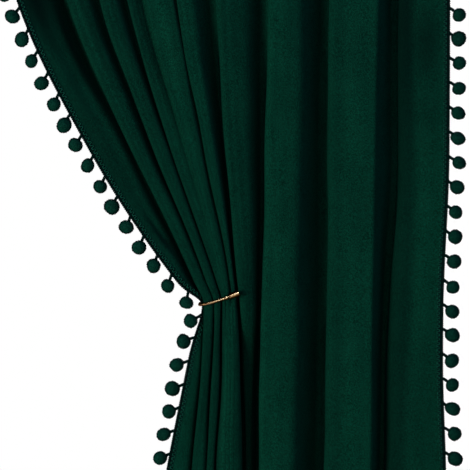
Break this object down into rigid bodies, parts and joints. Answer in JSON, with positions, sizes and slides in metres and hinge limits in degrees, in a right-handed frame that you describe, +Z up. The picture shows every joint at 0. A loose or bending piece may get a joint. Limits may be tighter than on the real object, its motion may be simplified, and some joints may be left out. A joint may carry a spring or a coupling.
{
  "type": "velvet drape with pom-pom trim and its holdback hook",
  "caption": "Bottle-green velvet drape drawn back into a brass holdback hook, with pom-pom trim down both side edges.",
  "frame": {"origin": "middle of the drape's top edge, at mid depth of the folds there", "axes": "+Z up, the face of the cloth towards -Y, the leading edge that the hook draws back towards -X, the wall towards +Y"},
  "size_m": [0.9852, 0.1437, 1.6005],
  "materials": {
    "velvet": "dark bottle-green velvet, short soft nap",
    "yarn": "matt green yarn, braided into gimp and wound into pom-poms",
    "brass": "polished antique brass"
  },
  "bodies": {
    "root": {"drape": "velvet", "fringe_leading": "yarn", "fringe_trailing": "yarn", "holdback_rod": "brass", "holdback_collar": "brass", "holdback_finial": "brass", "holdback_plate": "brass"}
  },
  "joints": []
}
